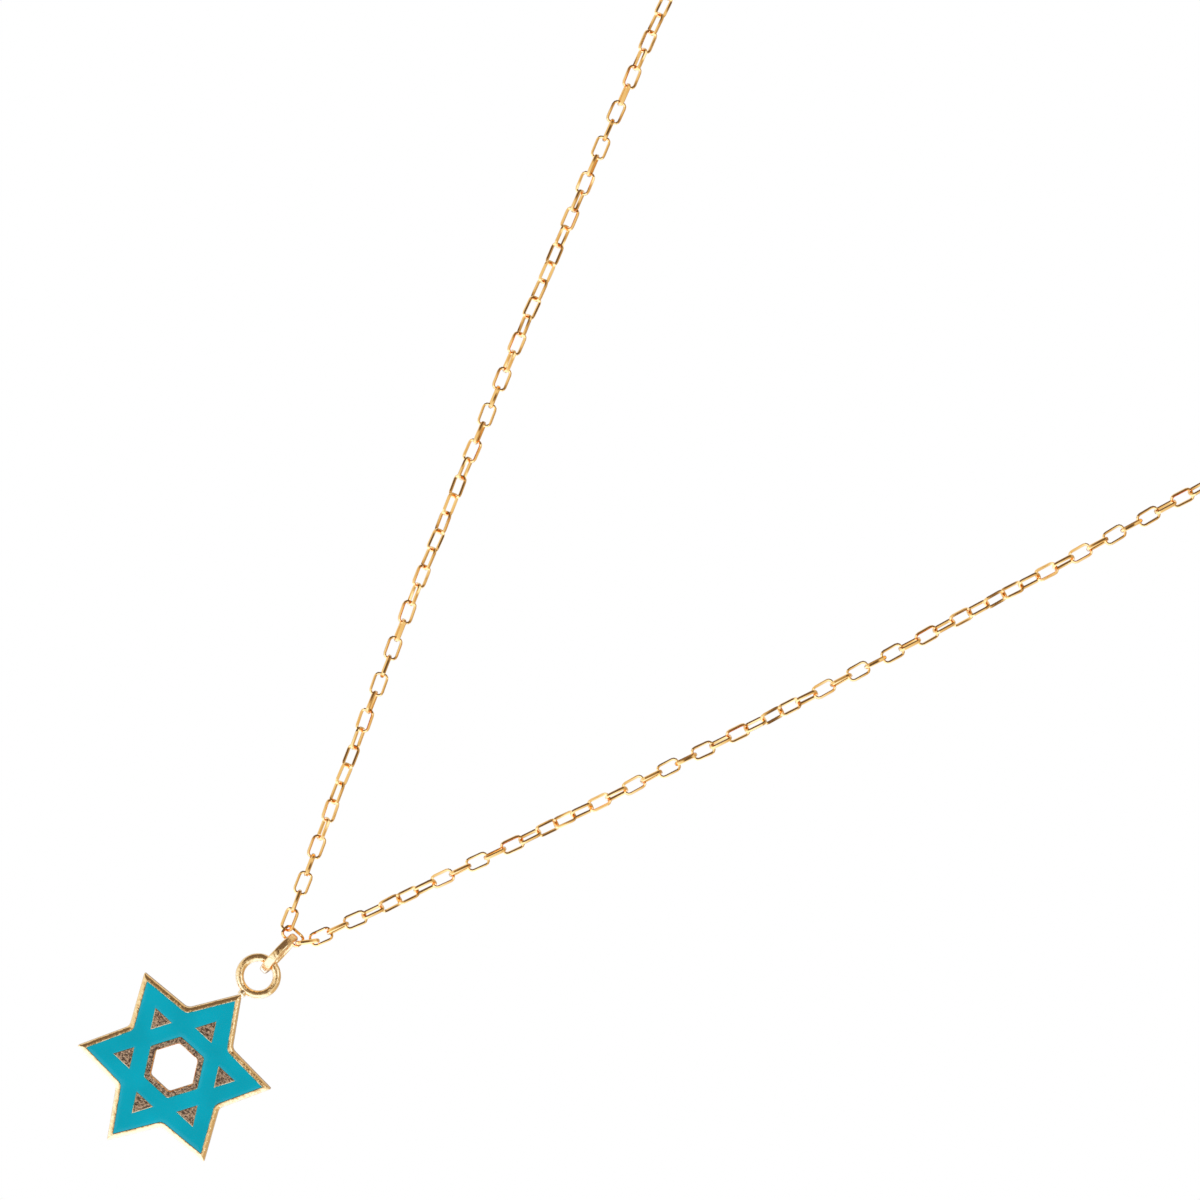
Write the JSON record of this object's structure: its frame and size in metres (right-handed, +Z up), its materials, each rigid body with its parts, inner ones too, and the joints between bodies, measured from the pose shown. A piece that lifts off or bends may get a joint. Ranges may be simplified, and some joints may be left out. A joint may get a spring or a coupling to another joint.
{
  "type": "star of david pendant necklace",
  "caption": "Six-pointed star pendant in gold coloured metal with turquoise enamel and a hexagonal hole, hanging by a jump ring from a fine cable chain with a clasp.",
  "frame": {"origin": "top centre of the loop, on the inside of the clasp's ring, where the neck or a hook carries the necklace", "axes": "+Z up, the pendant hangs along -Z; the enamel faces -Y; +X to the viewer's right"},
  "size_m": [0.0922, 0.0032, 0.2106],
  "materials": {
    "gold": "polished gold plating",
    "chain_gold": "diamond-cut gold plating",
    "turquoise_enamel": "smooth glossy enamel"
  },
  "bodies": {
    "necklace": {"chain_front": "chain_gold", "chain_back": "chain_gold", "clasp": "gold"},
    "bail": {"bail_ring": "gold"},
    "pendant": {"star_frame": "gold", "enamel_inlay": "turquoise_enamel"}
  },
  "joints": [
    {"name": "bail_swing", "type": "hinge", "parent": "necklace", "child": "bail", "pos_m": [0, 0, -0.18733], "axis": [1, 0, 0], "range_deg": [-35, 35]},
    {"name": "pendant_swing", "type": "hinge", "parent": "bail", "child": "pendant", "pos_m": [0, 0, -0.18974], "axis": [0, 1, 0], "range_deg": [-90, 90]}
  ]
}
